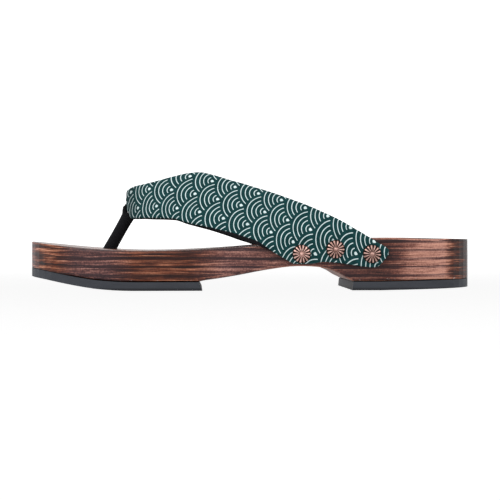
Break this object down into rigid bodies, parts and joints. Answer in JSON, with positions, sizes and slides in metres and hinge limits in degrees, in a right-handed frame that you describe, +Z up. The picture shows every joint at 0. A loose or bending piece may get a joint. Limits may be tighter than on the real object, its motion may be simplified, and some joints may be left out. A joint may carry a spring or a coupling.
{
  "type": "geta sandal",
  "caption": "Wooden geta sandal with an arched base, rubber soles, a toe post and a wide cloth strap nailed to its sides.",
  "frame": {"origin": "centre of the bounding box at floor level", "axes": "+X from the toe to the heel, +Y to the side away from the picture's camera, +Z up"},
  "size_m": [0.26, 0.1006, 0.0689],
  "materials": {
    "scorched_wood": "scorched and brushed, satin",
    "slate_rubber": "matte",
    "printed_cloth": "plain cotton weave with a printed wave-fan pattern",
    "black_cloth": "fine black cloth",
    "old_copper": "antique copper, dark in the grooves"
  },
  "bodies": {
    "root": {"base": "scorched_wood", "forefoot_sole": "slate_rubber", "heel_sole": "slate_rubber", "strap": "printed_cloth", "toe_post": "black_cloth", "stud_near_1": "old_copper", "stud_near_2": "old_copper", "stud_near_3": "old_copper", "stud_far_1": "old_copper", "stud_far_2": "old_copper", "stud_far_3": "old_copper"}
  },
  "joints": []
}
